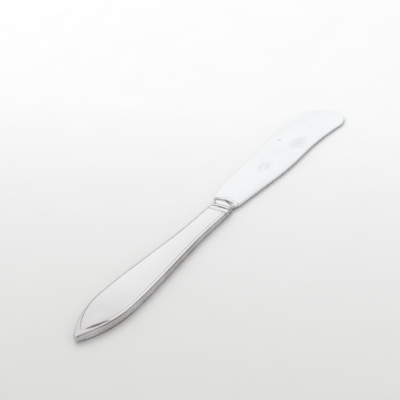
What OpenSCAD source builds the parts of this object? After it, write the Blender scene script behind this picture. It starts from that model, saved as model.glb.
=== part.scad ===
// Butter knife with a hollow pointed handle, a moulded collar and a paddle blade.
// It lies on the back of its handle. X runs from the handle's tip to the blade's tip,
// the cutting edge is towards -Y, and the origin is in the middle of the resting face.

/* [Handle] */
// Length of the two shells, from the pointed tip to the mouth
handle_l = 78.3; // [70:0.1:90]
// Greatest width of the handle
handle_w = 14.8; // [12.5:0.1:17]
// Distance from the tip to the widest place
widest_at = 20.5; // [16:0.1:27]
// Thickness of the handle at its widest place
handle_t = 3.5; // [3.2:0.05:5]
// Thickness of the handle at its mouth
mouth_t = 2.8; // [2.7:0.05:3.8]
// Width of the handle at its mouth
waist_w = 8.7; // [8.2:0.1:9.4]
// Length of the parallel sides before the mouth
straight_l = 7.5; // [4:0.5:14]
// How far the bend past the widest place reaches to each side of its corner
turn_reach = 7.5; // [4:0.5:10]
// How far the bend before the parallel sides reaches to each side of its corner
hollow_reach = 7.5; // [4:0.5:10]
// Radius of the rounded tip
tip_r = 1; // [0.8:0.05:1.4]
// Distance from the handle's tip to the point of its panel
panel_at = 2.9; // [2:0.1:5]
// Radius of the panel's point
panel_tip_r = 0.3; // [0.2:0.05:0.6]
// Width of the bevel round each panel
bevel_w = 0.7; // [0.4:0.05:1]
// Height of the bevel round each panel
bevel_h = 0.3; // [0.2:0.05:0.5]
// Thickness of the stamped sheet
sheet_t = 0.5; // [0.4:0.05:0.55]
// Thickness of the soldered seam between the shells
seam_t = 0.1; // [0.06:0.02:0.2]

/* [Collar] */
// Length of the band at the mouth
band_l = 1.7; // [1:0.1:2.5]
// How far the band stands back from the panels
band_back = 0.05; // [0.02:0.01:0.1]
// Width of the opening through the band
band_bore_w = 6; // [5.4:0.1:6.4]
// Height of the opening through the band
band_bore_t = 1.8; // [1.7:0.05:1.9]
// Length of the cap's flange, which is the groove between band and bead
groove_l = 0.8; // [0.4:0.05:1]
// Width of the cap's flange
groove_w = 7.4; // [7.2:0.1:8]
// Thickness of the cap's flange
groove_t = 2.05; // [2:0.05:2.4]
// Width of the bead
bead_w = 8.6; // [8:0.1:9]
// Thickness of the bead from front to back
bead_t = 2.75; // [2.6:0.05:2.8]
// Length of the bead along the knife
bead_l = 1.2; // [0.8:0.05:1.6]

/* [Neck] */
// Length of the neck, from the cap to the blade's root
neck_l = 4.9; // [4.5:0.1:6]
// Width of the neck's root
neck_w = 6.8; // [6:0.1:7]
// Thickness of the neck's root
neck_t = 1.6; // [1.5:0.05:2]
// Width of the shoulder that stands up before the blade
shoulder_w = 10.6; // [9:0.1:12]
// How far the shoulder's middle lies towards the spine
shoulder_off = 0.8; // [0:0.1:1.2]
// Thickness of the shoulder
shoulder_t = 2.7; // [2.3:0.05:2.75]
// Length of the shoulder's flat lip
lip_l = 0.7; // [0.2:0.05:0.9]
// Length of the hollow where the shoulder runs down to the blade
hollow_l = 1.6; // [0.5:0.1:2.5]

/* [Blade] */
// Length of the blade, from its root to its tip
blade_l = 70.1; // [60:0.1:85]
// Width from the knife's axis to the spine near the tip
spine_w = 11; // [9.5:0.1:12.5]
// Width from the knife's axis to the belly of the edge
belly_w = 7.7; // [7:0.1:8.5]
// Width from the knife's axis to the corner of the edge at the tip
corner_w = 9.1; // [8.4:0.1:10.5]
// Radius of the blade's end on the spine side
spine_corner_r = 11.5; // [8:0.5:13]
// Radius of the blade's end on the edge side
edge_corner_r = 6.6; // [4:0.1:8]
// Thickness of the blade at its root
blade_root_t = 1.3; // [1.1:0.05:1.5]
// Thickness of the blade at its tip
blade_tip_t = 0.8; // [0.7:0.05:1]
// Thickness of the edge
edge_t = 0.45; // [0.3:0.05:0.6]
// Width of the ground strip along the edge
grind_w = 6; // [3:0.25:8]
// Angle by which the blade's end leans back from square
end_lean_a = 8; // [4:0.5:14]
// Angle at which the spine rises from the knife's axis
spine_rise_a = 3.6; // [1:0.1:5]

/* [Tang and filling] */
// Length of the tang inside the handle
tang_l = 34; // [20:0.5:45]
// Width of the tang where it leaves the neck
tang_w = 4.2; // [3.6:0.1:4.6]
// Width of the tang's end
tang_end_w = 3; // [2:0.1:3.6]
// Thickness of the tang
tang_t = 1.2; // [1:0.05:1.25]
// How far the filling runs on past the tang's end
filling_past = 6; // [2:0.5:14]

/* [Clearances] */
// Gap round the tang in the cap and in the filling
tang_gap = 0.05; // [0.02:0.01:0.1]
// Gap between pieces that slide together
slip_gap = 0.03; // [0.02:0.01:0.06]
// Gap between the filling and the shells
filling_gap = 0.05; // [0.02:0.01:0.1]

/* [Hidden] */

// Round surfaces, the big side arcs and the points of a sampled arc
$fn = 96;
side_fn = 720;
arc_steps = 14;
turn_steps = 8;
nose_steps = 6;
ring_steps = 6;
hollow_steps = 4;

// How far a cut runs past the surface that it opens
over = 1;

// The side of the handle is an arc from the rounded tip to the widest place, a bend, a
// straight line that draws in, a bend the other way, and a parallel run to the mouth.
half_w = handle_w / 2;
half_waist = waist_w / 2;
straight_at = handle_l - straight_l;
draw_in_a = atan((half_w - half_waist) / (straight_at - widest_at - turn_reach - hollow_reach));
turn_r = turn_reach / tan(draw_in_a / 2);
hollow_r = hollow_reach / tan(draw_in_a / 2);

// Each half of the handle thins towards the mouth, so the seam leans by this angle.
taper_a = atan((handle_t - mouth_t) / 2 / (handle_l - widest_at));
form_h = handle_t + bevel_h;

// Places along the knife, measured from the mouth towards the blade
cap_at = band_l;
bead_at = cap_at + groove_l;
root_at = bead_at + neck_l;
end_share = 0.8;
bead_end_r = bead_t / 2 * end_share;
groove_end_r = groove_t / 2 * end_share;
neck_end_r = neck_t / 2 * end_share;
shoulder_end_share = 0.3;
shoulder_end_r = shoulder_t / 2 * shoulder_end_share;
bead_edge_a = 72;
neck_straight = bead_l + slip_gap;
flare_l = neck_l - neck_straight - lip_l;
flare_bend = 1.5;
lip_bend = 9;

// Points of an arc from angle a0 to angle a1
function arc(c, r, a0, a1, steps = arc_steps) =
    [for (i = [0:steps]) let (a = a0 + (a1 - a0) * i / steps) c + r * [cos(a), sin(a)]];

// Points that round one corner of an outline: corner is [place, radius]
function turned(before, corner, after) =
    let (p = corner[0], u = (before - p) / norm(before - p), v = (after - p) / norm(after - p),
         half = acos(u * v) / 2, reach = corner[1] / tan(half),
         mid = (u + v) / norm(u + v), c = p + mid * corner[1] / sin(half),
         s = p + u * reach - c, e = p + v * reach - c,
         a0 = atan2(s[1], s[0]), swing = atan2(s[0] * e[1] - s[1] * e[0], s * e))
    arc(c, corner[1], a0, a0 + swing);

// An outline whose corners are rounded, each by its own radius
function rounded(corners) =
    let (n = len(corners))
    [for (i = [0:n - 1]) each corners[i][1] == 0 ? [corners[i][0]] :
        turned(corners[(i + n - 1) % n][0], corners[i], corners[(i + 1) % n][0])];

// The blade's outline in plan, from its root at [0, 0]. The end is a straight line that
// leans back between two round corners, and the edge has a belly and then a hollow.
end_n = [cos(end_lean_a), sin(end_lean_a)];
spine_n = [-sin(spine_rise_a), cos(spine_rise_a)];
edge_corner_c = [blade_l - edge_corner_r, edge_corner_r - corner_w];
end_reach = edge_corner_c * end_n + edge_corner_r;
spine_corner_y = spine_w - spine_corner_r;
spine_corner_c = [(end_reach - spine_corner_r - spine_corner_y * end_n[1]) / end_n[0], spine_corner_y];
spine_reach = spine_corner_c * spine_n + spine_corner_r;
spine_start_share = 0.085;
spine_start = [blade_l * spine_start_share,
               (spine_reach - spine_n[0] * blade_l * spine_start_share) / spine_n[1]];
spine_end = [end_reach * spine_n[1] - spine_reach * end_n[1],
             spine_reach * end_n[0] - end_reach * spine_n[0]]
            / (end_n[0] * spine_n[1] - end_n[1] * spine_n[0]);
belly_share = [0.4, -1];
hollow_share = [0.72, -0.9];
belly = [blade_l * belly_share[0], belly_w * belly_share[1]];
hollow = [blade_l * hollow_share[0], belly_w * hollow_share[1]];
to_corner = edge_corner_c - hollow;
flare_a = atan2(to_corner[1], to_corner[0]) - asin(edge_corner_r / norm(to_corner));
flare_dir = [cos(flare_a), sin(flare_a)];
edge_end = hollow + flare_dir * (end_reach - hollow * end_n) / (flare_dir * end_n);
long_bend_share = 1.3;
spine_bend_share = 0.25;
long_bend_r = blade_l * long_bend_share;
spine_bend_r = blade_l * spine_bend_share;
blade_outline = rounded([[[0, shoulder_off - shoulder_w / 2], 0], [belly, long_bend_r], [hollow, long_bend_r],
    [edge_end, edge_corner_r], [spine_end, spine_corner_r], [spine_start, spine_bend_r],
    [[0, shoulder_off + shoulder_w / 2], 0]]);

module in_frame() translate([-handle_l / 2, 0, 0]) children();

module at_mouth() translate([handle_l, 0, mouth_t / 2]) rotate([0, taper_a, 0]) children();

// Turns a shape drawn across the knife so that it is extruded along the knife
module along(from, to) translate([from, 0, 0]) rotate([90, 0, 90]) linear_extrude(to - from) children();

// Oval of four true arcs, as wide as 2 * a and as high as 2 * b, with end arcs of radius r
module oval(a, b, r) {
    big_r = (pow(a - r, 2) + b * b - r * r) / (2 * (b - r));
    reach = (a - r) * big_r / (big_r - r);
    for (s = [-1, 1]) translate([s * (a - r), 0]) circle(r);
    intersection() {
        translate([0, b - big_r]) circle(big_r, $fn = side_fn);
        translate([0, big_r - b]) circle(big_r, $fn = side_fn);
        square([2 * reach, 2 * b], center = true);
    }
}

// Solid skin over a row of rings, each a closed list of as many points
module loft(rings) {
    n = len(rings[0]);
    last = len(rings) - 1;
    polyhedron([for (ring = rings) each ring], concat(
        [[for (i = [0:n - 1]) i]],
        [for (k = [0:last - 1], i = [0:n - 1]) each
            let (j = (i + 1) % n) [[k * n + i, (k + 1) * n + i, (k + 1) * n + j],
                                   [k * n + i, (k + 1) * n + j, k * n + j]]],
        [[for (i = [n - 1:-1:0]) last * n + i]]));
}

// One side of the handle in plan, from the tip to the end: a nose of radius nose_r that
// starts at nose_x, then the rest of the side, all drawn in by inset
function side_line(nose_x, nose_r, inset, end) =
    let (w = half_w - inset, run = widest_at - nose_x - nose_r,
         r = (run * run + w * w - nose_r * nose_r) / (2 * (w - nose_r)),
         meet_a = 90 + asin(run / (r - nose_r)))
    concat(arc([nose_x + nose_r, 0], nose_r, 180, meet_a, nose_steps),
           drop_first(arc([widest_at, w - r], r, meet_a, 90)),
           drop_first(arc([widest_at, half_w - turn_r], turn_r - inset, 90, 90 - draw_in_a, turn_steps)),
           arc([straight_at, half_waist + hollow_r], hollow_r + inset, 270 - draw_in_a, 270, turn_steps),
           [[end, half_waist - inset]]);

function drop_first(list) = [for (i = [1:len(list) - 1]) list[i]];

// The whole outline at height z, from a side line and its mirror image
function ring_at(side, z) = concat([for (p = side) [p[0], -p[1], z]],
    [for (i = [len(side) - 1:-1:1]) [side[i][0], side[i][1], z]]);

// Solid half of the handle, lying on its panel and taller than the seam.
// inset moves its walls inwards, and run_past lengthens it at the mouth.
module half_form(inset, run_past) {
    end = handle_l + run_past;
    face = side_line(panel_at + inset, panel_tip_r, inset + bevel_w, end);
    wall = side_line(inset, tip_r - inset, inset, end);
    loft([ring_at(face, 0), ring_at(wall, bevel_h), ring_at(wall, form_h)]);
}

// All that lies on the far side of the seam, past a gap
module above_seam(gap) at_mouth()
    translate([-handle_l - over, -handle_w, gap]) cube([handle_l + 2 * over, 2 * handle_w, form_h]);

module half_shell() difference() {
    half_form(0, 0);
    translate([0, 0, sheet_t]) half_form(sheet_t, over);
    above_seam(seam_t / 2);
}

// Turns the back half over into the front half
module turned_over() at_mouth() mirror([0, 0, 1])
    rotate([0, -taper_a, 0]) translate([-handle_l, 0, -mouth_t / 2]) children();

module handle_back_shell() color("silver") in_frame() half_shell();

module handle_front_shell() color("gainsboro") in_frame() turned_over() half_shell();

module seam_solder() color("darkgray") in_frame() difference() {
    half_form(0, 0);
    half_form(sheet_t, over);
    above_seam(seam_t / 2);
    turned_over() above_seam(seam_t / 2);
}

// Ring at the mouth, with the same bevelled section as the handle
module collar_band() color("whitesmoke") in_frame() at_mouth() difference() {
    along(0, band_l) intersection() {
        square([waist_w, mouth_t - 2 * band_back], center = true);
        polygon([for (p = [[1, -1], [1, 1], [-1, 1], [-1, -1]]) each
            let (side = [p[0] * half_waist, p[1] * (mouth_t / 2 - bevel_h)],
                 face = [p[0] * (half_waist - bevel_w), p[1] * mouth_t / 2])
            p[0] * p[1] < 0 ? [face, side] : [side, face]]);
    }
    along(-over, band_l + over) square([band_bore_w, band_bore_t], center = true);
}

module tang_slot() along(-over, root_at)
    square([tang_w + 2 * tang_gap, tang_t + 2 * tang_gap], center = true);

// Closes the mouth: a plug in the band and a flange in front of it
module mouth_cap() color("dimgray") in_frame() at_mouth() difference() {
    union() {
        along(0, cap_at + groove_l / 2)
            square([band_bore_w - 2 * slip_gap, band_bore_t - 2 * slip_gap], center = true);
        along(cap_at, bead_at) oval(groove_w / 2, groove_t / 2, groove_end_r);
    }
    tang_slot();
}

// Points of the same oval at place x along the knife, drawn in by inset
function oval_ring(a, b, r, inset, x) =
    let (big_r = (pow(a - r, 2) + b * b - r * r) / (2 * (b - r)),
         split_a = atan((a - r) / (big_r - b)),
         quarter = concat(arc([a - r, 0], r - inset, 0, 90 - split_a, ring_steps),
             drop_first(arc([0, b - big_r], big_r - inset, 90 - split_a, 90, ring_steps))),
         half = concat(quarter, [for (i = [len(quarter) - 2:-1:0]) [-quarter[i][0], quarter[i][1]]]))
    concat([for (p = half) [x, p[0], p[1]]],
           [for (i = [len(half) - 2:-1:1]) [x, half[i][0], -half[i][1]]]);

// Half-round ring in front of the groove, round the root of the neck
module collar_bead() color("gainsboro") in_frame() at_mouth() difference() {
    loft([for (a = [-bead_edge_a:bead_edge_a / 4:bead_edge_a])
        oval_ring(bead_w / 2, bead_t / 2, bead_end_r, bead_l / 2 * (1 - cos(a)),
                  bead_at + bead_l / 2 * (1 + sin(a) / sin(bead_edge_a)))]);
    along(bead_at - over, bead_at + bead_l + over)
        oval(neck_w / 2 + slip_gap, neck_t / 2 + slip_gap, neck_end_r);
}

// Moves a ring towards the spine
function moved(ring, dy) = [for (p = ring) [p[0], p[1] + dy, p[2]]];

// Ring of the neck at a share of its flare, which widens early and thickens late
function flare_ring(share) = let (wide = pow(share, flare_bend), thick = pow(share, lip_bend))
    moved(oval_ring(neck_w / 2 + (shoulder_w - neck_w) / 2 * wide,
                    neck_t / 2 + (shoulder_t - neck_t) / 2 * thick,
                    neck_end_r + (shoulder_end_r - neck_end_r) * thick, 0,
                    bead_at + neck_straight + flare_l * share), shoulder_off * wide);

// Rings of the neck: the straight root, the flare, the lip and the hollow behind it
neck_rings = concat(
    [oval_ring(neck_w / 2, neck_t / 2, neck_end_r, 0, bead_at)],
    [for (i = [0:ring_steps]) flare_ring(sqrt(i / ring_steps))],
    [for (i = [0:hollow_steps]) let (a = 90 * i / hollow_steps)
        moved(oval_ring(shoulder_w / 2, shoulder_t / 2 - (shoulder_t - blade_root_t) / 2 * sin(a),
                        shoulder_end_r, 0, root_at + hollow_l * (1 - cos(a))), shoulder_off)]);

// Extrudes a side view, drawn along X and up, through the knife's whole width
module through_width(w) rotate([90, 0, 0]) translate([0, 0, -w / 2]) linear_extrude(w) children();

// Flat plate that thins towards its tip, ground thinner along the edge
module blade_plate() intersection() {
    translate([0, 0, -blade_root_t / 2]) linear_extrude(blade_root_t) polygon(blade_outline);
    through_width(2 * (spine_w + corner_w)) polygon([[0, -blade_root_t / 2], [blade_l, -blade_tip_t / 2],
        [blade_l, blade_tip_t / 2], [0, blade_root_t / 2]]);
    along(0, blade_l) polygon([[spine_w, -blade_root_t / 2], [spine_w, blade_root_t / 2],
        [grind_w - corner_w, blade_root_t / 2], [-corner_w, edge_t / 2],
        [-corner_w, -edge_t / 2], [grind_w - corner_w, -blade_root_t / 2]]);
}

// Flat bar that runs on into the neck
module tang() translate([0, 0, -tang_t / 2]) linear_extrude(tang_t)
    polygon([[bead_at + bead_l, -tang_w / 2], [bead_at + bead_l, tang_w / 2], [0, tang_w / 2],
        [bead_at - tang_l, tang_end_w / 2], [bead_at - tang_l, -tang_end_w / 2], [0, -tang_w / 2]]);

// One forging: tang, neck, shoulder and blade
module blade() color("white") in_frame() at_mouth() {
    tang();
    loft(neck_rings);
    translate([root_at, 0, 0]) blade_plate();
}

// Hardened filling that holds the tang
module tang_cement() color("tan") in_frame() difference() {
    intersection() {
        translate([0, 0, sheet_t + filling_gap]) half_form(sheet_t + filling_gap, 0);
        turned_over() translate([0, 0, sheet_t + filling_gap]) half_form(sheet_t + filling_gap, 0);
        at_mouth() along(bead_at - tang_l - filling_past, -filling_gap) square(handle_w, center = true);
    }
    at_mouth() translate([0, 0, -tang_t / 2 - tang_gap]) linear_extrude(tang_t + 2 * tang_gap)
        translate([-tang_gap - tang_l + bead_at, -tang_w / 2 - tang_gap])
            square([tang_l + over, tang_w + 2 * tang_gap]);
}

handle_front_shell();
handle_back_shell();
seam_solder();
collar_band();
mouth_cap();
collar_bead();
blade();
tang_cement();
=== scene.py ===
import math
from collections import namedtuple

import bmesh
import bpy
from bpy.props import FloatProperty, FloatVectorProperty, PointerProperty
from mathutils import Matrix, Vector


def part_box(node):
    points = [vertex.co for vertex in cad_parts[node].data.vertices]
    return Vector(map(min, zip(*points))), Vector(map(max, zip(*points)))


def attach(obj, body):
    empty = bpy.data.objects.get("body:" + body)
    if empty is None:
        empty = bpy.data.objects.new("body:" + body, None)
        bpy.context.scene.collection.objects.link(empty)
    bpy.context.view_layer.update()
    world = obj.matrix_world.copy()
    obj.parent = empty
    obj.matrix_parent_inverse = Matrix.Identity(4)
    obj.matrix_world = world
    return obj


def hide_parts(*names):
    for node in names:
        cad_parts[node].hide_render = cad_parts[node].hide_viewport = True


bl_info = {
    "name": "Butter knife",
    "version": (1, 0, 0),
    "blender": (4, 5, 0),
    "location": "View3D > Sidebar > Butter knife",
    "description": "Hollow-handled butter knife with a moulded collar, on a pale floor",
    "category": "Add Mesh",
}

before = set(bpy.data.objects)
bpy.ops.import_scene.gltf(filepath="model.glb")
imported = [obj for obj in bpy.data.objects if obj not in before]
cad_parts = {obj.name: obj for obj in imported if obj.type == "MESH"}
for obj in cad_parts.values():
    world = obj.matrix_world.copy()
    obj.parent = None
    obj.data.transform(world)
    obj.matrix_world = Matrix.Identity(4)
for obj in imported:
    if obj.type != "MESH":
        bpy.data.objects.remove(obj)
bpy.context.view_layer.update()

MM = 0.001
# Distances within which vertices are joined, and within which a cut takes in a vertex
MERGE = 0.002 * MM
CUT_MERGE = 0.01 * MM
SHELL_LOW, SHELL_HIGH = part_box("handle_back_shell")
TIP_X, MOUTH_X = SHELL_LOW.x, SHELL_HIGH.x
HANDLE_L, HANDLE_W = MOUTH_X - TIP_X, SHELL_HIGH.y - SHELL_LOW.y
BEAD_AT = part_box("mouth_cap")[1].x - MOUTH_X
BLADE_TIP_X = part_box("blade")[1].x


def length(name, value, about):
    """A size in millimetres, kept as a length in metres"""
    return FloatProperty(name=name, description=about, default=value * MM, min=0, subtype="DISTANCE",
                         unit="LENGTH", precision=5)


def angle(name, value, about):
    """An angle given in degrees, kept in radians"""
    return FloatProperty(name=name, description=about, default=math.radians(value), subtype="ANGLE",
                         unit="ROTATION")


def share(name, value, about):
    """A plain factor"""
    return FloatProperty(name=name, description=about, default=value, min=0, soft_max=1)


def colour(name, value, about):
    """A linear colour"""
    return FloatVectorProperty(name=name, description=about, default=value, size=3, min=0, max=1,
                               subtype="COLOR")


class HandleSizes(bpy.types.PropertyGroup):
    widest_at: length("Widest at", 20.5, "Distance from the tip to the widest place")
    thick: length("Thickness", 3.5, "Thickness at the widest place")
    mouth_t: length("Mouth thickness", 2.8, "Thickness at the mouth")
    mouth_w: length("Mouth width", 8.7, "Width at the mouth")
    straight_l: length("Parallel run", 7.5, "Length of the parallel sides before the mouth")
    turn_reach: length("First bend", 7.5, "Reach of the bend past the widest place")
    hollow_reach: length("Second bend", 7.5, "Reach of the bend before the parallel sides")
    tip_r: length("Tip radius", 1.0, "Radius of the rounded tip")
    panel_at: length("Panel start", 2.9, "Distance from the tip to the point of the panel")
    panel_tip_r: length("Panel point", 0.3, "Radius of the panel's point")
    bevel_w: length("Border width", 0.7, "Width of the bevelled border")
    bevel_h: length("Border height", 0.48, "Height of the bevelled border")
    edge_r: length("Border softness", 0.5, "Radius where the border meets the side")
    tip_fall: length("Tip fall", 0.6, "How far the border slopes down towards the tip")
    tip_reach: length("Tip reach", 7, "Distance from the tip at which that slope begins")
    crest_r: length("Crest softness", 0.15, "Radius of the crest beside the panel")
    line_w: length("Line width", 0.3, "Width of the sunk line round the panel")
    line_d: length("Line depth", 0.1, "Depth of the sunk line round the panel")
    crown: length("Crown", 0.04, "How far the panel rises towards its middle")
    crown_w: length("Crown reach", 2.5, "Half width past which the panel has its full crown")
    sheet_t: length("Sheet", 0.5, "Thickness of the stamped sheet")
    seam_t: length("Seam", 0.1, "Thickness of the soldered seam")
    seam_in: length("Seam relief", 0.03, "How far the filed solder lies behind the sides")
    fade_l: length("Fade", 14, "Length of the tip over which the darkening of the line fades")
    mouth_r: length("Mouth softness", 0.32, "Radius of the edge at the joint with the band")


class CollarSizes(bpy.types.PropertyGroup):
    band_l: length("Band length", 1.7, "Length of the band")
    band_back: length("Band relief", 0.05, "How far the band stands back from the panels")
    band_bevel_w: length("Band bevel", 1.12, "Width of the band's bevel")
    band_bore_w: length("Bore width", 6.0, "Width of the opening through the band")
    band_bore_t: length("Bore height", 1.8, "Height of the opening through the band")
    band_r: length("Band softness", 0.3, "Radius of the band's edge at the handle")
    band_front_r: length("Band front", 0.15, "Radius of the band's edge at the groove")
    groove_w: length("Groove width", 8.0, "Width of the flange in the groove")
    groove_t: length("Groove thickness", 2.05, "Thickness of the flange in the groove")
    bead_w: length("Bead width", 8.6, "Width of the bead")
    bead_t: length("Bead thickness", 2.75, "Thickness of the bead")
    bead_l: length("Bead length", 1.2, "Length of the bead along the knife")
    slip: length("Slip", 0.03, "Gap between pieces that slide together")


class BladeSizes(bpy.types.PropertyGroup):
    neck_l: length("Neck length", 4.9, "Length of the neck, from the cap to the blade's root")
    neck_w: length("Neck width", 6.8, "Width of the neck's root")
    neck_t: length("Neck thickness", 1.6, "Thickness of the neck's root")
    shoulder_w: length("Shoulder width", 10.6, "Width of the shoulder")
    shoulder_off: length("Shoulder offset", 0.8, "How far the shoulder lies towards the spine")
    shoulder_t: length("Shoulder thickness", 2.7, "Thickness of the shoulder")
    lip_l: length("Lip length", 0.7, "Length of the shoulder's lip")
    lip_r: length("Lip softness", 0.2, "Radius of the lip's edges")
    hollow_l: length("Hollow length", 3.2, "Length of the hollow from the shoulder to the blade")
    flare_bend: share("Flare bend", 1.5, "Power by which the neck widens towards the shoulder")
    lip_bend: share("Lip bend", 9, "Power by which the neck thickens towards the lip")
    spine_w: length("Spine width", 11, "Width from the axis to the spine near the tip")
    belly_w: length("Belly width", 7.7, "Width from the axis to the belly of the edge")
    corner_w: length("Corner width", 9.1, "Width from the axis to the corner of the edge")
    spine_corner_r: length("Spine corner", 11.5, "Radius of the end on the spine side")
    edge_corner_r: length("Edge corner", 6.6, "Radius of the end on the edge side")
    root_t: length("Root thickness", 1.3, "Thickness of the blade at its root")
    tip_t: length("Tip thickness", 0.8, "Thickness of the blade at its tip")
    edge_t: length("Edge thickness", 0.7, "Thickness of the edge")
    grind_w: length("Grind width", 6.0, "Width of the ground strip along the edge")
    soft_w: length("Polished margin", 1.4, "Width of the margin that falls away to the spine")
    soft_fall: length("Polished fall", 0.09, "How far that margin falls away")
    spine_r: length("Spine softness", 0.3, "Radius of the spine's edges")
    edge_r: length("Edge softness", 0.04, "Radius of the cutting edge's corners")
    end_lean: angle("End lean", 8, "How far the end leans back from square")
    spine_rise: angle("Spine rise", 3.6, "How steeply the spine leaves the axis")
    tang_l: length("Tang length", 34, "Length of the tang inside the handle")
    tang_w: length("Tang width", 4.2, "Width of the tang")
    tang_end_w: length("Tang end", 3.0, "Width of the tang's end")
    tang_t: length("Tang thickness", 1.2, "Thickness of the tang")


class Finishes(bpy.types.PropertyGroup):
    silver: colour("Silver", (0.83, 0.825, 0.84), "Colour of the polished plate")
    steel: colour("Steel", (0.88, 0.89, 0.905), "Colour of the polished blade")
    # Colour towards which painted shade and tarnish darken the metal
    tarnish_and_shade: colour("Tarnish", (0.17, 0.125, 0.085), "Colour of the darkened recesses")
    solder: colour("Solder", (0.55, 0.53, 0.5), "Colour of the filed solder")
    cement: colour("Filling", (0.45, 0.33, 0.2), "Colour of the hardened filling")
    silver_rough: share("Silver roughness", 0.17, "Roughness of the clean plate")
    steel_rough: share("Steel roughness", 0.2, "Roughness of the clean blade")
    wear: share("Wear", 0.5, "Strength of scratches and handling marks")


class StudioSetup(bpy.types.PropertyGroup):
    aim_x: length("Aim along", 45.1, "Where the camera looks, along the knife")
    aim_y: length("Aim across", 12.1, "Where the camera looks, across the knife")
    distance: length("Distance", 474.7, "Distance from the camera to where it looks")
    elevation: angle("Elevation", 32.49, "Height of the camera above the floor")
    turn: angle("Turn", 48.29, "Turn of the knife away from the picture's width")
    roll: angle("Roll", -10.28, "Turn of the camera about its own axis")
    lens: FloatProperty(name="Lens", description="Focal length", default=117, subtype="DISTANCE_CAMERA")
    floor: colour("Floor", (0.84, 0.845, 0.85), "Colour of the floor far from the camera")
    # Painted shade: the floor's colour near the camera, darker than the far one
    floor_near_shade: colour("Near floor", (0.65, 0.645, 0.635), "Colour of the floor near the camera")
    ambient: share("Ambient", 0.92, "Strength of the light from all sides")
    key: FloatProperty(name="Key", description="Power of the soft lamp", default=2.8, unit="POWER")
    key_tint: colour("Key colour", (1, 0.99, 0.98), "Colour of the soft lamp")
    key_size: length("Key size", 700, "Side of the square lamp")
    key_far: length("Key beyond", 600, "How far the lamp stands beyond the knife")
    key_left: length("Key to the left", 50, "How far the lamp stands to the left")
    key_high: length("Key height", 750, "Height of the lamp over the floor")
    floor_r: length("Floor radius", 2500, "Radius of the floor")


def new_mesh_piece(name, bm, node, material, smooth_angle=35):
    """Turns a finished bmesh into a piece that stands for a node of the model"""
    bmesh.ops.remove_doubles(bm, verts=bm.verts, dist=MERGE)
    bmesh.ops.recalc_face_normals(bm, faces=bm.faces)
    mesh = bpy.data.meshes.new(name)
    bm.to_mesh(mesh)
    bm.free()
    mesh.shade_smooth()
    mesh.set_sharp_from_angle(angle=math.radians(smooth_angle))
    mesh.materials.append(material)
    piece = bpy.data.objects.new(name, mesh)
    bpy.context.scene.collection.objects.link(piece)
    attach(piece, "root")
    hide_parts(node)
    return piece


def arc(centre, radius, start, end, steps):
    """Points of an arc from one angle to another, in degrees"""
    turns = [math.radians(start + (end - start) * i / steps) for i in range(steps + 1)]
    return [Vector((centre[0] + radius * math.cos(a), centre[1] + radius * math.sin(a))) for a in turns]


def corner(before, at, after, radius, steps):
    """Points that round one corner of a line"""
    u, v = (before - at).normalized(), (after - at).normalized()
    half = u.angle(v) / 2
    centre = at + (u + v).normalized() * radius / math.sin(half)
    first = at + u * radius / math.tan(half) - centre
    last = at + v * radius / math.tan(half) - centre
    swing = math.atan2(first.cross(last), first.dot(last))
    start = math.atan2(first.y, first.x)
    return arc(centre, radius, math.degrees(start), math.degrees(start + swing), steps)


def rounded(corners, steps=5):
    """Line through (place, radius) pairs, with each corner rounded by its own radius"""
    count = len(corners)
    points = []
    for i, (place, radius) in enumerate(corners):
        at = Vector(place)
        if radius == 0:
            points.append(at)
        else:
            before, after = Vector(corners[i - 1][0]), Vector(corners[(i + 1) % count][0])
            points += corner(before, at, after, radius, steps)
    return points


def rounding(radius, steps=4):
    """(Reach, inset) pairs of a quarter round, from the end face to the full height"""
    turns = [math.radians(90 * i / steps) for i in range(steps + 1)]
    return [(radius * (1 - math.cos(t)), radius * (1 - math.sin(t))) for t in turns]


def chain(bm, points, closed=False):
    """Edges through a row of places"""
    verts = [bm.verts.new(p) for p in points]
    pairs = list(zip(verts, verts[1:] + verts[:1] if closed else verts[1:]))
    return [bm.edges.new(pair) for pair in pairs]


def bridged(bm, rows, closed=False, marks=None):
    """Skin over rows of places. Each row may carry a mark of painted shade and tarnish, which the material
    reads.
    """
    layer = bm.verts.layers.float.get("shade_and_tarnish") or bm.verts.layers.float.new("shade_and_tarnish")
    edges = []
    for i, row in enumerate(rows):
        edges.append(chain(bm, row, closed))
        for edge in edges[-1]:
            for vert in edge.verts:
                vert[layer] = marks[i] if marks else 0
    for one, other in zip(edges, edges[1:]):
        bmesh.ops.bridge_loops(bm, edges=one + other)
    return edges


def fill_holes(bm):
    """Joins what meets, and closes the open ends with flat faces"""
    bmesh.ops.remove_doubles(bm, verts=bm.verts, dist=MERGE)
    bmesh.ops.holes_fill(bm, edges=[e for e in bm.edges if e.is_boundary], sides=0)


# Rows of the soft edge at the mouth, in its radii from the end. The first one stops the painted
# shade of the others from spreading along the handle.
MOUTH_ROWS = (1.4, 1, 0.7, 0.35, 0.1, 0)
# How far the nose of a line moves for each step that the line is drawn in past the border
NOSE_STEP = 1.4
# Factor by which a test for a row reaches past the size that the row lies on
SLACK = 1.02


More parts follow.
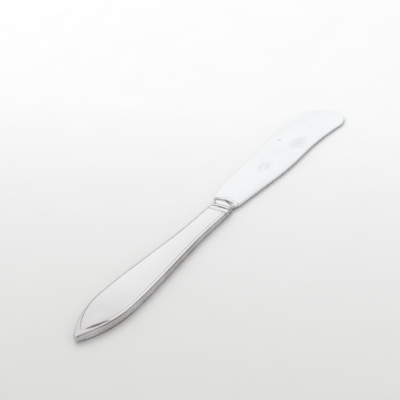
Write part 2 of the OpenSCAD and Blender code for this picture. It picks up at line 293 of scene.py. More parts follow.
def side_line(sizes, nose_x, nose_r, inset):
    """One side of the handle in plan, from the nose on its axis to the mouth, drawn in by inset"""
    half = HANDLE_W / 2
    waist = sizes.mouth_w / 2
    straight_at = HANDLE_L - sizes.straight_l
    run_in = straight_at - sizes.widest_at - sizes.turn_reach - sizes.hollow_reach
    lean = math.atan((half - waist) / run_in)
    turn_r = sizes.turn_reach / math.tan(lean / 2)
    hollow_r = sizes.hollow_reach / math.tan(lean / 2)
    lean = math.degrees(lean)
    w, run = half - inset, sizes.widest_at - nose_x - nose_r
    r = (run * run + w * w - nose_r * nose_r) / (2 * (w - nose_r))
    meet = 90 + math.degrees(math.asin(run / (r - nose_r)))
    return (arc((nose_x + nose_r, 0), nose_r, 180, meet, 8)
            + arc((sizes.widest_at, w - r), r, meet, 90, 30)[1:]
            + arc((sizes.widest_at, half - turn_r), turn_r - inset, 90, 90 - lean, 10)[1:]
            + arc((straight_at, waist + hollow_r), hollow_r + inset, 270 - lean, 270, 10)
            + [Vector((HANDLE_L - sizes.mouth_r * back, waist - inset)) for back in MOUTH_ROWS])


def taper(sizes):
    """Slope of the seam, since each half of the handle thins towards the mouth"""
    return (sizes.thick - sizes.mouth_t) / 2 / (HANDLE_L - sizes.widest_at)


def seam_height(sizes, s):
    """Height of the seam's middle at distance s from the tip"""
    return sizes.mouth_t / 2 + (HANDLE_L - s) * taper(sizes)


def nose_at(sizes, inset):
    """Place and radius of the nose of a line drawn in by inset"""
    t = min(inset / sizes.bevel_w, 1)
    past = max(inset - sizes.bevel_w, 0)
    least_r = sizes.panel_tip_r / 4
    return (sizes.panel_at * t + NOSE_STEP * past,
            max(sizes.tip_r + (sizes.panel_tip_r - sizes.tip_r) * t - past, least_r))


def side_at(sizes, inset):
    """One side of the outside in plan, drawn in by inset"""
    nose_x, nose_r = nose_at(sizes, inset)
    return side_line(sizes, nose_x, nose_r, inset)


def softened(sizes, rows):
    """Rows of the outside, drawn towards the middle of the section at the soft edge of the mouth"""
    r, half_w, half_t = sizes.mouth_r, sizes.mouth_w / 2, sizes.mouth_t / 2
    soft = []
    for row in rows:
        soft.append([])
        for x, y, z in row:
            t = max((x - MOUTH_X) / r + 1, 0)
            drop = r * (1 - math.sqrt(1 - min(t, 1) ** 2))
            soft[-1].append((x, y * (1 - drop / half_w), half_t + (z - half_t) * (1 - drop / half_t)))
    return soft


def both_sides(side, height):
    """The open line round the handle, from one end over the tip to the other"""
    right = [(TIP_X + p.x, -p.y, height(p)) for p in reversed(side)]
    left = [(TIP_X + p.x, p.y, height(p)) for p in side[1:]]
    return right + left


def border_profile(sizes):
    """Section of the border from the side to the panel: (inset, height over the floor) pairs. The
    last corner only gives the panel's slope, and is left out."""
    s = sizes
    wall_from = s.bevel_h + 1.1 * s.edge_r
    line_at = s.bevel_w + s.line_w / 2
    line_r = s.line_w / 6
    panel_from = s.bevel_w + s.line_w
    panel_r = s.line_w / 8
    inner_h = s.crown * 0.8
    corners = [((0, wall_from), 0), ((0, s.bevel_h), s.edge_r), ((s.bevel_w, 0), s.crest_r),
               ((line_at, s.line_d + s.crown), line_r), ((panel_from, s.crown), panel_r),
               ((panel_from + s.line_w, inner_h), 0)]
    return rounded(corners, 4)[:-1]


# Painted shade in the line round the panel, on the rounding below the border, and on the wall
LINE_SHADE = 0.62
ROUND_SHADE = 0.8
WALL_SHADE = 0.33
# Factors for the painted shade of the line on the side of the spine and on the side of the cutting edge
SPINE_LINE = 1.3
EDGE_LINE = 0.65
# Share of those marks that is left at the tip
TIP_SHARE = 0.3
# Even painted shade at the end of the fade. At the tip it is twice as strong.
TIP_SHADE = 0.13
# Painted shade on band and bead on the side of the cutting edge, and the share of the half width
# from which each one is painted dark
BAND_SIDE_SHADE = 0.5
BAND_SIDE_FROM = 0.97
BEAD_SIDE_SHADE = 0.45
BEAD_SIDE_FROM = 0.8
# Painted shade in the groove, by the share of its half width at which each one begins
GROOVE_SHADE = ((0.2, 0.55), (-0.6, 1), (-2, 0.15))


def half_rows(sizes):
    """Rows of the back half, from the outer panel's middle to the inner panel's middle, and how
    much painted shade each row carries"""
    s = sizes
    rows, marks = [], []
    profile = border_profile(s)
    rim = side_at(s, profile[-1].x)
    panel_shares = [0, 0.2, 0.4, 0.6, 0.8, 0.93]
    for part in panel_shares:
        def height(p, part=part):
            full = min(abs(p.y) / s.crown_w, 1) ** 2
            return s.crown * (1 - (1 - part * part) * full)
        scaled = [Vector((p.x, p.y * part)) for p in rim]
        rows.append([(x, y, height(q)) for (x, y, _), q in
                     zip(both_sides(scaled, height), list(reversed(rim)) + rim[1:])])
        marks.append(0)
    for point in reversed(profile[1:]):
        def fallen(p, z=point.y, part=1 - min(point.x / s.bevel_w, 1)):
            return z + s.tip_fall * part * max(1 - p.x / s.tip_reach, 0) ** 2
        rows.append(both_sides(side_at(s, point.x), fallen))
        inside = s.bevel_w * SLACK < point.x < s.bevel_w + s.line_w * SLACK
        steep = point.y > s.bevel_h
        # Painted shade in the sunk line and on the steep rounding below the border
        marks.append(LINE_SHADE if inside else ROUND_SHADE if steep else 0)
    rows.append(both_sides(side_at(s, 0), lambda p: profile[0].y))
    # Painted shade on the wall
    marks.append(WALL_SHADE)
    seam_low = s.seam_t / 2
    rows.append(both_sides(side_at(s, 0), lambda p: seam_height(s, p.x) - seam_low))
    marks.append(WALL_SHADE)
    rows = softened(s, rows)
    inner = s.sheet_t
    rows.append(both_sides(inner_side(s, inner), lambda p: seam_height(s, p.x) - seam_low))
    rows.append(both_sides(inner_side(s, inner), lambda p: inner + s.bevel_h))
    face = inner_side(s, inner + s.bevel_w)
    rows.append(both_sides(face, lambda p: inner))
    rows.append(both_sides([Vector((p.x, 0)) for p in face], lambda p: inner))
    inner_rows = 4
    return rows, marks + [0] * inner_rows


def inner_side(sizes, inset):
    """Line inside the sheet, whose nose keeps a thickness of sheet in front of it"""
    s = sizes
    t = max((inset - s.sheet_t) / s.bevel_w, 0)
    nose_x = s.sheet_t + t * s.panel_at
    nose_r = (s.tip_r - s.sheet_t) * (1 - t) + s.panel_tip_r * t
    return side_line(s, nose_x, nose_r, inset)


def turned_over(sizes):
    """Matrix that mirrors the back half into the front half, about the seam"""
    mouth = Matrix.Translation((MOUTH_X, 0, sizes.mouth_t / 2))
    lean = Matrix.Rotation(math.atan(taper(sizes)), 4, "Y")
    over = Matrix.Diagonal((1, 1, -1, 1))
    return mouth @ lean @ over @ lean.inverted() @ mouth.inverted()


def at_mouth(sizes):
    """Matrix of the frame at the mouth, tilted as the seam is"""
    return Matrix.Translation((MOUTH_X, 0, sizes.mouth_t / 2)) @ Matrix.Rotation(
        math.atan(taper(sizes)), 4, "Y")


# Radius of an oval's ends, as a share of its half height
END_SHARE = 0.8
# Height of the bead's bow, as a share of half its length
BEAD_BOW = 0.55


def oval(a, b, r, x, inset=0, steps=10):
    """Oval of four arcs at place x, as wide as 2 * a and as high as 2 * b, with ends of radius r"""
    big = ((a - r) ** 2 + b * b - r * r) / (2 * (b - r))
    split = math.degrees(math.atan((a - r) / (big - b)))
    quarter = (arc((a - r, 0), r - inset, 0, 90 - split, steps)
               + arc((0, b - big), big - inset, 90 - split, 90, steps)[1:])
    half = quarter + [Vector((-p.x, p.y)) for p in quarter[-2::-1]]
    return [(x, p.x, p.y) for p in half] + [(x, p.x, -p.y) for p in half[-2:0:-1]]


def silver_tube(context, name, node, rows, marks):
    """Ring-shaped piece of silver: closed rows, of which the last one meets the first"""
    bm = bmesh.new()
    bridged(bm, rows + rows[:1], closed=True, marks=marks + marks[:1])
    bmesh.ops.remove_doubles(bm, verts=bm.verts, dist=MERGE)
    bmesh.ops.transform(bm, matrix=at_mouth(context.scene.knife_handle), verts=bm.verts)
    return new_mesh_piece(name, bm, node, silver_material(context))


def shell_mark(sizes, place, mark):
    """Painted shade of a place on the back half, from the mark of its row: full at the joint with the
    band, its own strength for each side of the panel's line, and fading to an even painted shade at the
    tip"""
    if place.x > MOUTH_X - sizes.mouth_r * SLACK:
        return 1
    # The line's painted shade is stronger on the spine side than on the side of the cutting edge
    if place.z < sizes.bevel_h / 2:
        mark *= SPINE_LINE if place.y > 0 else EDGE_LINE
    near_tip = 1 - (place.x - TIP_X) / sizes.fade_l
    return max(mark * min(TIP_SHARE + 1 - near_tip, 1), TIP_SHADE * (1 + near_tip))


def shade_edge_side(piece, y, mark):
    """Paints shade on the part of a piece that lies past y, on the side of the cutting edge"""
    shade_and_tarnish = piece.data.attributes["shade_and_tarnish"].data
    for vert in piece.data.vertices:
        if vert.co.y < y:
            shade_and_tarnish[vert.index].value = max(shade_and_tarnish[vert.index].value, mark)


class KNIFE_OT_shells(bpy.types.Operator):
    """Make the two stamped halves of the handle"""
    bl_idname = "knife.shells"
    bl_label = "Handle shells"

    def execute(self, context):
        sizes = context.scene.knife_handle
        for name, node, matrix in (("back_shell", "handle_back_shell", Matrix()),
                                   ("front_shell", "handle_front_shell", turned_over(sizes))):
            bm = bmesh.new()
            rows, marks = half_rows(sizes)
            bridged(bm, rows, marks=marks)
            fill_holes(bm)
            shade_and_tarnish = bm.verts.layers.float["shade_and_tarnish"]
            for vert in bm.verts:
                vert[shade_and_tarnish] = shell_mark(sizes, vert.co, vert[shade_and_tarnish])
            bmesh.ops.transform(bm, matrix=matrix, verts=bm.verts)
            new_mesh_piece(name, bm, node, silver_material(context), 50)
        return {"FINISHED"}


class KNIFE_OT_seam(bpy.types.Operator):
    """Make the filed line of solder between the halves"""
    bl_idname = "knife.seam"
    bl_label = "Soldered seam"

    def execute(self, context):
        sizes = context.scene.knife_handle
        outer = side_at(sizes, sizes.seam_in)
        inner = inner_side(sizes, sizes.sheet_t)
        half = sizes.seam_t / 2
        bm = bmesh.new()
        section = ((outer, -half), (outer, half), (inner, half), (inner, -half), (outer, -half))
        bridged(bm, [both_sides(side, lambda p, dz=dz: seam_height(sizes, p.x) + dz)
                     for side, dz in section])
        fill_holes(bm)
        new_mesh_piece("seam", bm, "seam_solder", solder_material(context))
        return {"FINISHED"}


def band_section(handle, collar, x, inset):
    """Bevelled section of the band at place x, drawn in by inset"""
    half_w = handle.mouth_w / 2 - inset
    half_t = handle.mouth_t / 2 - collar.band_back - inset
    flat_w = handle.mouth_w / 2 - collar.band_bevel_w - inset / 3
    side_t = half_t - handle.bevel_h + inset / 3
    quarter = [(half_w, side_t), (flat_w, half_t)]
    corners = (quarter + [(-y, z) for y, z in reversed(quarter)] + [(-y, -z) for y, z in quarter]
               + [(y, -z) for y, z in reversed(quarter)])
    return [(x, p.x, p.y) for p in rounded([(place, handle.edge_r) for place in corners])]


def box_section(half_w, half_t, r, x, steps):
    """Rectangle with round corners at place x"""
    corners = [((half_w, half_t), r), ((-half_w, half_t), r), ((-half_w, -half_t), r),
               ((half_w, -half_t), r)]
    return [(x, p.x, p.y) for p in rounded(corners, steps)]


class KNIFE_OT_band(bpy.types.Operator):
    """Make the band at the handle's mouth"""
    bl_idname = "knife.band"
    bl_label = "Collar band"

    def execute(self, context):
        handle, collar = context.scene.knife_handle, context.scene.knife_collar
        start = [band_section(handle, collar, x, inset) for x, inset in rounding(collar.band_r)]
        finish = [band_section(handle, collar, collar.band_l - x, inset)
                  for x, inset in reversed(rounding(collar.band_front_r))]
        outer = start + finish
        # The bore gets as many points as the outer rows have, and both edges and the bore get painted
        # shade
        corner_steps = len(outer[0]) // 4 - 1
        bore_w, bore_t = collar.band_bore_w / 2, collar.band_bore_t / 2
        bore = [box_section(bore_w, bore_t, 2 * collar.slip, x, corner_steps) for x in (collar.band_l, 0)]
        marks = [1, 0.5] + [0] * (len(outer) - 4) + [0.5, 1] + [1] * len(bore)
        piece = silver_tube(context, "band", "collar_band", outer + bore, marks)
        # Painted shade on the band's side towards the cutting edge
        shade_edge_side(piece, -BAND_SIDE_FROM * handle.mouth_w / 2, BAND_SIDE_SHADE)
        return {"FINISHED"}


def groove_mark(side):
    """Painted shade in the groove at a share of its half width: black in the middle, paler to the ends"""
    return next(dark for start, dark in GROOVE_SHADE if side >= start)


class KNIFE_OT_cap(bpy.types.Operator):
    """Make the cap whose flange is the groove between band and bead"""
    bl_idname = "knife.cap"
    bl_label = "Mouth cap"

    def execute(self, context):
        collar, blade = context.scene.knife_collar, context.scene.knife_blade
        cap_at = collar.band_l
        a, b = collar.groove_w / 2, collar.groove_t / 2
        plug = [collar.band_bore_w / 2 - collar.slip, collar.band_bore_t / 2 - collar.slip]
        slot = [blade.tang_w / 2 + collar.slip, blade.tang_t / 2 + collar.slip]
        flange = [oval(a, b, b * END_SHARE, x) for x in (cap_at, BEAD_AT)]
        steps = len(flange[0]) // 4 - 1
        rows = [box_section(*plug, collar.slip, x, steps) for x in (0, cap_at)] + flange
        rows += [box_section(*slot, collar.slip, x, steps) for x in (BEAD_AT, 0)]
        piece = silver_tube(context, "groove_cap", "mouth_cap", rows, [1] * len(rows))
        # Painted shade in the groove
        shade_and_tarnish = piece.data.attributes["shade_and_tarnish"].data
        for vert in piece.data.vertices:
            shade_and_tarnish[vert.index].value = groove_mark(vert.co.y / a)
        return {"FINISHED"}


class KNIFE_OT_bead(bpy.types.Operator):
    """Make the half-round bead in front of the groove"""
    bl_idname = "knife.bead"
    bl_label = "Collar bead"

    def execute(self, context):
        collar, blade = context.scene.knife_collar, context.scene.knife_blade
        half_l = collar.bead_l / 2
        a, b = collar.bead_w / 2, collar.bead_t / 2
        # The half round stops short of square at both ends
        edge_turn = math.radians(80)
        steps = 12
        rows, marks = [], []
        for i in range(steps + 1):
            t = edge_turn * (2 * i / steps - 1)
            x = BEAD_AT + half_l * (1 + math.sin(t) / math.sin(edge_turn))
            rows.append(oval(a, b, b * END_SHARE, x, BEAD_BOW * half_l * (1 - math.cos(t))))
            # Painted shade over the last third towards each end
            marks.append(max(abs(math.sin(t)) * 3 - 2, 0))
        a, b = blade.neck_w / 2 + collar.slip, blade.neck_t / 2 + collar.slip
        rows += [oval(a, b, b * END_SHARE, BEAD_AT + x) for x in (collar.bead_l, 0)]
        piece = silver_tube(context, "bead", "collar_bead", rows, marks + [1, 1])
        # Painted shade on the bead's side towards the cutting edge
        shade_edge_side(piece, -BEAD_SIDE_FROM * collar.bead_w / 2, BEAD_SIDE_SHADE)
        return {"FINISHED"}


# Places along the blade, as shares of its length: where the spine turns towards the tip, and the
# belly and the hollow of the edge
SPINE_AT = 0.085
BELLY_AT = 0.4
HOLLOW_AT = 0.72
# Width at that hollow, as a share of the belly's
HOLLOW_SHARE = 0.9
# Radii of the edge's two long bends and of the spine's bend, as shares of the blade's length
EDGE_BEND = 1.3
SPINE_BEND = 0.25


def blade_outline(sizes, blade_l):
    """Outline of the blade in plan from its root: the end is a straight line between two
    round corners, and the edge has a belly and then a hollow"""
    b = sizes
    end_n = Vector((math.cos(b.end_lean), math.sin(b.end_lean)))
    spine_n = Vector((-math.sin(b.spine_rise), math.cos(b.spine_rise)))
    edge_c = Vector((blade_l - b.edge_corner_r, b.edge_corner_r - b.corner_w))
    end_reach = edge_c.dot(end_n) + b.edge_corner_r
    spine_y = b.spine_w - b.spine_corner_r
    spine_c = Vector(((end_reach - b.spine_corner_r - spine_y * end_n.y) / end_n.x, spine_y))
    spine_reach = spine_c.dot(spine_n) + b.spine_corner_r
    start_x = SPINE_AT * blade_l
    spine_start = (start_x, (spine_reach - spine_n.x * start_x) / spine_n.y)
    cross = end_n.x * spine_n.y - end_n.y * spine_n.x
    spine_end = ((end_reach * spine_n.y - spine_reach * end_n.y) / cross,
                 (spine_reach * end_n.x - end_reach * spine_n.x) / cross)
    belly = (BELLY_AT * blade_l, -b.belly_w)
    hollow = Vector((HOLLOW_AT * blade_l, -HOLLOW_SHARE * b.belly_w))
    to_corner = edge_c - hollow
    lean = math.atan2(to_corner.y, to_corner.x) - math.asin(b.edge_corner_r / to_corner.length)
    way = Vector((math.cos(lean), math.sin(lean)))
    edge_end = hollow + way * (end_reach - hollow.dot(end_n)) / way.dot(end_n)
    half = b.shoulder_w / 2
    bend_r = EDGE_BEND * blade_l
    return rounded([((0, b.shoulder_off - half), 0), (belly, bend_r), (tuple(hollow), bend_r),
                    (tuple(edge_end), b.edge_corner_r), (spine_end, b.spine_corner_r),
                    (spine_start, SPINE_BEND * blade_l), ((0, b.shoulder_off + half), 0)], 16)


def blade_half_t(sizes, blade_l, x, y):
    """Half the blade's thickness: it thins to the tip, and is ground towards the edge"""
    b = sizes
    flat = (b.root_t + (b.tip_t - b.root_t) * min(max(x / blade_l, 0), 1)) / 2
    edge = b.edge_t / 2
    blend = min(max((y + b.corner_w) / b.grind_w, 0), 1)
    ease = blend * blend * (3 - 2 * blend)
    return edge + (flat - edge) * (blend + ease) / 2


# Rows of the polished margin, as shares of its width from the outline
MARGIN_ROWS = (0.02, 0.05, 0.085, 0.13, 0.21, 0.35, 0.5, 0.7, 0.85, 1)
# Depth in the margin, as such a share, past which a vertex lies on the flat
ON_FLAT = 0.999
# Painted shade along the spine at the root, and the share of the margin over which it fades
SPINE_SHADE = 0.2
SPINE_FADE = 0.9
# Cells of the grid along and across the blade
GRID = (30, 16)
# Most of the half thickness that a soft edge takes
SOFT_SHARE = 0.9


def blade_plate(bm, sizes, root_at, blade_l):
    """The flat of the blade: the outline is inset in rows for its polished margin, the rest is cut
    into a grid, and all is lifted to its thickness, mirrored and closed round the rim"""
    outline = blade_outline(sizes, blade_l)
    verts = [bm.verts.new((root_at + p.x, p.y, 0)) for p in outline]
    face = bm.faces.new(verts)
    shade_and_tarnish = bm.verts.layers.float.new("shade_and_tarnish")
    depth = bm.verts.layers.float.new("depth")
    inner = [face]
    reach = 0
    for part in MARGIN_ROWS:
        step = part * sizes.soft_w - reach
        bmesh.ops.inset_region(bm, faces=inner, thickness=step, use_even_offset=True)
        reach = part * sizes.soft_w
        for vert in inner[0].verts:
            vert[depth] = part
    spans = ((root_at, root_at + blade_l), (-sizes.corner_w, sizes.spine_w))
    for way, (low, high), count in zip((Vector((1, 0, 0)), Vector((0, 1, 0))), spans, GRID):
        for i in range(1, count):
            place = way * (low + (high - low) * i / count)
            flat = [v for v in bm.verts if v[depth] > ON_FLAT]
            flat += [item for item in [*bm.edges, *bm.faces]
                     if all(v[depth] > ON_FLAT for v in item.verts)]
            cut = bmesh.ops.bisect_plane(bm, geom=flat, plane_co=place, plane_no=way, dist=CUT_MERGE)
            for item in cut["geom_cut"]:
                if isinstance(item, bmesh.types.BMVert):
                    item[depth] = 1
    for vert in bm.verts:
        half = blade_half_t(sizes, blade_l, vert.co.x - root_at, vert.co.y)
        on_spine = vert.co.y > 0
        r = sizes.spine_r if on_spine else sizes.edge_r
        t = max(1 - vert[depth] * sizes.soft_w / r, 0)
        vert.co.z = half - min(r, half * SOFT_SHARE) * (1 - math.sqrt(1 - t * t))
        if on_spine:
            vert.co.z -= sizes.soft_fall * (1 - vert[depth]) ** 2
            along = (vert.co.x - root_at) / blade_l
            # Painted shade along the spine
            vert[shade_and_tarnish] = SPINE_SHADE * max(1 - vert[depth] / SPINE_FADE, 0) * max(1 - along, 0)
    top = list(bm.verts) + list(bm.edges) + list(bm.faces)
    outer = [e for e in bm.edges if e.is_boundary]
    copy = bmesh.ops.duplicate(bm, geom=top)
    low_verts = [g for g in copy["geom"] if isinstance(g, bmesh.types.BMVert)]
    low_faces = [g for g in copy["geom"] if isinstance(g, bmesh.types.BMFace)]
    bmesh.ops.scale(bm, vec=(1, 1, -1), verts=low_verts)
    bmesh.ops.reverse_faces(bm, faces=low_faces)
    known = set(outer)
    low_outer = [e for e in bm.edges if e.is_boundary and e not in known]
    bmesh.ops.bridge_loops(bm, edges=outer + low_outer)


# Rows of the flare, of the lip's rounding and of the hollow behind it
FLARE_STEPS = 24
LIP_STEPS = 4
HOLLOW_STEPS = 16
# Radius of the lip's ends, as a share of its half height
LIP_END_SHARE = 0.3
# Share of the hollow's depth that lies in its first tenth
STEEP_SHARE = 0.72
# Painted shade in the hollow at the lip, which fades towards the blade
HOLLOW_SHADE = 0.12
# The neck's ends towards spine and edge: the share of the width where each begins, and how dark its
# painted shade is
SPINE_END = 0.93
SPINE_END_SHADE = 0.9
EDGE_END = 0.8
EDGE_END_SHADE = 0.4
# Row from which the end towards the edge gets no painted shade
BRIGHT_ROW = 16


def neck_rows(sizes, root_at, neck_straight):
    """Ovals of the neck, and how much painted shade each carries: root, flare, lip, and the hollow down to
    the blade
    """
    b = sizes
    flare_l = b.neck_l - neck_straight - b.lip_l
    half_w, half_t = b.shoulder_w / 2, b.shoulder_t / 2
    root_end, lip_end = b.neck_t / 2 * END_SHARE, half_t * LIP_END_SHARE

    def moved(row, by):
        """The row, shifted towards the spine by a share of the shoulder's offset"""
        return [(x, y + by * b.shoulder_off, z) for x, y, z in row]

    rows = [oval(b.neck_w / 2, b.neck_t / 2, root_end, BEAD_AT)]
    marks = [1]
    for i in range(FLARE_STEPS + 1):
        part = math.sqrt(i / FLARE_STEPS)
        wide, thick = part ** b.flare_bend, part ** b.lip_bend
        row = oval(b.neck_w / 2 + (half_w - b.neck_w / 2) * wide,
                   b.neck_t / 2 + (half_t - b.lip_r - b.neck_t / 2) * thick,
                   root_end + (lip_end - root_end) * thick, BEAD_AT + neck_straight + flare_l * part)
        rows.append(moved(row, wide))
        # Painted shade beside the bead, and again where the lip rises
        marks.append(max(1 - 4 * part, 0, min(4 * thick, 1)))
    for reach, inset in rounding(b.lip_r, LIP_STEPS)[1:]:
        rows.append(moved(oval(half_w, half_t - inset, lip_end, root_at - b.lip_l + reach), 1))
    # Painted shade on the first row of the lip's rounding
    marks += [1] + [0] * (LIP_STEPS - 1)
    for i in range(HOLLOW_STEPS + 1):
        part = i / HOLLOW_STEPS
        fall = STEEP_SHARE * min(part * 10, 1) + (1 - STEEP_SHARE) * (1 - (1 - part) ** 2)
        high = half_t - (half_t - b.root_t / 2) * fall
        row = oval(half_w, high, min(lip_end, high * END_SHARE), root_at + b.hollow_l * part)
        rows.append(moved(row, 1))
        marks.append(HOLLOW_SHADE * (1 - part))
    return rows, marks


def shade_neck_ends(sizes, edges, shade_and_tarnish):
    """Paints shade on the neck's end towards the spine, and on the lower part of the one towards the
    cutting edge, above which the shoulder stays bright"""
    neck_count = 1 + FLARE_STEPS + 1
    for i, row in enumerate(edges[:neck_count + LIP_STEPS]):
        verts = {vert for edge in row for vert in edge.verts}
        reach = max(vert.co.y for vert in verts)
        for vert in verts:
            if vert.co.y > SPINE_END * reach and i < neck_count:
                vert[shade_and_tarnish] = SPINE_END_SHADE
            elif vert.co.y < -EDGE_END * sizes.neck_w / 2:
                vert[shade_and_tarnish] = max(vert[shade_and_tarnish], EDGE_END_SHADE) if i < BRIGHT_ROW else 0


def tang_block(bm, sizes, start):
    """The tang: its plan, made as thick as it is"""
    half_w, half_end, half_t = sizes.tang_w / 2, sizes.tang_end_w / 2, sizes.tang_t / 2
    end = BEAD_AT - sizes.tang_l
    plan = [((start, -half_w), 0), ((start, half_w), 0), ((0, half_w), 0), ((end, half_end), half_t),
            ((end, -half_end), half_t), ((0, -half_w), 0)]
    face = bm.faces.new([bm.verts.new((p.x, p.y, -half_t)) for p in rounded(plan, 4)])
    grown = bmesh.ops.extrude_face_region(bm, geom=[face], use_keep_orig=True)
    bmesh.ops.translate(bm, vec=(0, 0, sizes.tang_t),
                        verts=[g for g in grown["geom"] if isinstance(g, bmesh.types.BMVert)])


class KNIFE_OT_blade(bpy.types.Operator):
    """Make the forging: tang, waisted neck, shoulder and blade"""
    bl_idname = "knife.blade"
    bl_label = "Blade and neck"

    def execute(self, context):
        handle, collar, sizes = (context.scene.knife_handle, context.scene.knife_collar,
                                 context.scene.knife_blade)
        root_at = BEAD_AT + sizes.neck_l
        blade_l = BLADE_TIP_X - MOUTH_X - root_at
        bm = bmesh.new()
        blade_plate(bm, sizes, root_at, blade_l)
        rows, marks = neck_rows(sizes, root_at, collar.bead_l + collar.slip)
        edges = bridged(bm, rows, closed=True, marks=marks)
        # Painted shade on the neck's ends
        shade_neck_ends(sizes, edges, bm.verts.layers.float["shade_and_tarnish"])
        for end in (edges[0], edges[-1]):
            bmesh.ops.contextual_create(bm, geom=end)
        tang_block(bm, sizes, BEAD_AT + collar.slip)
        bmesh.ops.transform(bm, matrix=at_mouth(handle), verts=bm.verts)
        new_mesh_piece("blade_forging", bm, "blade", steel_material(context), 40)
        return {"FINISHED"}


class KNIFE_OT_filling(bpy.types.Operator):
    """Finish the filling inside the handle"""
    bl_idname = "knife.filling"
    bl_label = "Filling"

    def execute(self, context):
        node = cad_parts["tang_cement"]
        node.data.materials.clear()
        node.data.materials.append(cement_material(context))
        return {"FINISHED"}


def new_material(name):
    """Empty material with its shader and output, and the node tree to build in"""
    material = bpy.data.materials.new(name)
    material.use_nodes = True
    tree = material.node_tree
    tree.nodes.clear()
    output = tree.nodes.new("ShaderNodeOutputMaterial")
    shader = tree.nodes.new("ShaderNodeBsdfPrincipled")
    tree.links.new(shader.outputs["BSDF"], output.inputs["Surface"])
    return material, tree, shader


def add(tree, kind, **inputs):
    """New node with its sockets set or linked by name or number"""
    node = tree.nodes.new(kind)
    feed(tree, node, **inputs)
    return node


def feed(tree, node, **inputs):
    """Sets or links a node's sockets, by name or by number after an underscore"""
    for key, value in inputs.items():
        socket = node.inputs[int(key[1:])] if key[0] == "_" else node.inputs[key.replace("_", " ")]
        if isinstance(value, bpy.types.NodeSocket):
            tree.links.new(value, socket)
        else:
            socket.default_value = value


def maths(tree, operation, one, other=0.0, clamp=False):
    """Result of a sum on one or two values"""
    node = tree.nodes.new("ShaderNodeMath")
    node.operation = operation
    node.use_clamp = clamp
    feed(tree, node, _0=one, _1=other)
    return node.outputs[0]


def spread(tree, value, low, high, to_low=0.0, to_high=1.0):
    """Value mapped from one range to another, clamped"""
    node = add(tree, "ShaderNodeMapRange", Value=value, From_Min=low, From_Max=high, To_Min=to_low,
               To_Max=to_high)
    return node.outputs["Result"]


def mixed(tree, factor, one, other):
    """Two colours mixed"""
    node = tree.nodes.new("ShaderNodeMix")
    node.data_type = "RGBA"
    feed(tree, node, _0=factor, _6=one, _7=other)
    return node.outputs[2]


def mapped(tree, stretch=(1, 1, 1), turn=0.0):
    """Object coordinates, stretched and then turned"""
    coords = tree.nodes.new("ShaderNodeTexCoord")
    node = add(tree, "ShaderNodeMapping", Vector=coords.outputs["Object"], Scale=stretch,
               Rotation=(0, 0, math.radians(turn)))
    return node.outputs["Vector"]


def noise(tree, vector, scale, detail=2.0, rough=0.5):
    """Smooth noise between 0 and 1"""
    node = add(tree, "ShaderNodeTexNoise", Vector=vector, Scale=scale, Detail=detail, Roughness=rough)
    return node.outputs["Fac"]


def new_group(name, inputs, outputs):
    """Node group with named sockets"""
    group = bpy.data.node_groups.new(name, "ShaderNodeTree")
    for label, value in inputs:
        socket = group.interface.new_socket(label, in_out="INPUT", socket_type="NodeSocketFloat")
        socket.default_value = value
    for label, kind in outputs:
        group.interface.new_socket(label, in_out="OUTPUT", socket_type=kind)
    return group, group.nodes.new("NodeGroupInput"), group.nodes.new("NodeGroupOutput")


def placed(tree, group, **inputs):
    """A node group in a tree, with its inputs set"""
    node = tree.nodes.new("ShaderNodeGroup")
    node.node_tree = group
    feed(tree, node, **inputs)
    return node


# Turn in degrees, which gives each set of hairlines a pattern of its own, and its density
HAIRLINES = ((8, 1500), (-17, 2300), (38, 1900), (81, 1700), (-62, 2600))
# Shares of that density along the knife, across it and upwards
HAIR_SHAPE = (0.035, 1, 0.4)
# Noise below the first value shows no hairline, and above the second one a full one
HAIR_SPAN = (0.68, 0.78)


def scratches_group():
    """Fine hairlines along the knife, in sets of several densities, as wiping leaves them"""
    known = bpy.data.node_groups.get("Hairlines")
    if known:
        return known
    group, given, result = new_group("Hairlines", [("Scale", 1.0), ("Amount", 0.5)],
                                     [("Lines", "NodeSocketFloat")])
    total = 0.0
    for turn, density in HAIRLINES:
        vector = mapped(group, [density * part for part in HAIR_SHAPE], turn)
        scaled = add(group, "ShaderNodeVectorMath", _0=vector)
        scaled.operation = "SCALE"
        feed(group, scaled, Scale=given.outputs["Scale"])
        lines = noise(group, scaled.outputs[0], scale=1.0, detail=1.0)
        thin = spread(group, lines, *HAIR_SPAN)
        total = maths(group, "MAXIMUM", thin, total)
    amount = maths(group, "MULTIPLY", total, given.outputs["Amount"])
    group.links.new(amount, result.inputs["Lines"])
    return group


def handling_group():
    """Soft patches where fingers and cloths have dulled the polish"""
    known = bpy.data.node_groups.get("Handling")
    if known:
        return known
    group, given, result = new_group("Handling", [("Amount", 0.5)],
                                     [("Dull", "NodeSocketFloat"), ("Cloud", "NodeSocketFloat")])
    vector = mapped(group)
    large = noise(group, vector, scale=70.0, detail=3.0, rough=0.55)
    fine = noise(group, vector, scale=420.0, detail=4.0, rough=0.6)
    dull = maths(group, "MULTIPLY", spread(group, large, 0.4, 0.7), spread(group, fine, 0.25, 0.75))
    group.links.new(maths(group, "MULTIPLY", dull, given.outputs["Amount"]), result.inputs["Dull"])
    group.links.new(maths(group, "MULTIPLY", spread(group, large, 0.3, 0.75), given.outputs["Amount"]),
                    result.inputs["Cloud"])
    return group


def shade_and_tarnish_group():
    """Painted shade and tarnish from the mark on each vertex, broken up by noise"""
    known = bpy.data.node_groups.get("Painted shade and tarnish")
    if known:
        return known
    group, given, result = new_group("Painted shade and tarnish", [("Amount", 1.0)], [("Mask", "NodeSocketFloat")])
    mark = group.nodes.new("ShaderNodeAttribute")
    mark.attribute_name = "shade_and_tarnish"
    patches = noise(group, mapped(group), scale=160.0, detail=4.0)
    patchy = spread(group, patches, 0.3, 0.6, 0.45, 1.0)
    mask = maths(group, "MULTIPLY", mark.outputs["Fac"], patchy)
    group.links.new(maths(group, "MULTIPLY", mask, given.outputs["Amount"], True), result.inputs["Mask"])
    return group


